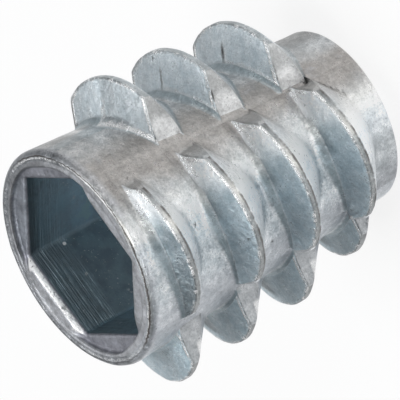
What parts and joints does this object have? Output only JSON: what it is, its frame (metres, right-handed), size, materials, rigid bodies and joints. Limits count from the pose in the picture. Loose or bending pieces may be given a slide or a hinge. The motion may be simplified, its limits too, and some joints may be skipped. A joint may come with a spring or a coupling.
{
  "type": "threaded insert",
  "caption": "Die-cast zinc insert for wood: interrupted coarse outer thread, hex drive socket in one end and a machine thread through the other.",
  "frame": {"origin": "centre of the lead-in end's face, on the axis, where the insert stands", "axes": "+Z along the axis, out of the drive socket; +X and +Y along the pull of two of the four die slides"},
  "size_m": [0.0186, 0.0184, 0.02],
  "materials": {
    "zinc": "satin"
  },
  "bodies": {
    "root": {"insert": "zinc"}
  },
  "joints": []
}
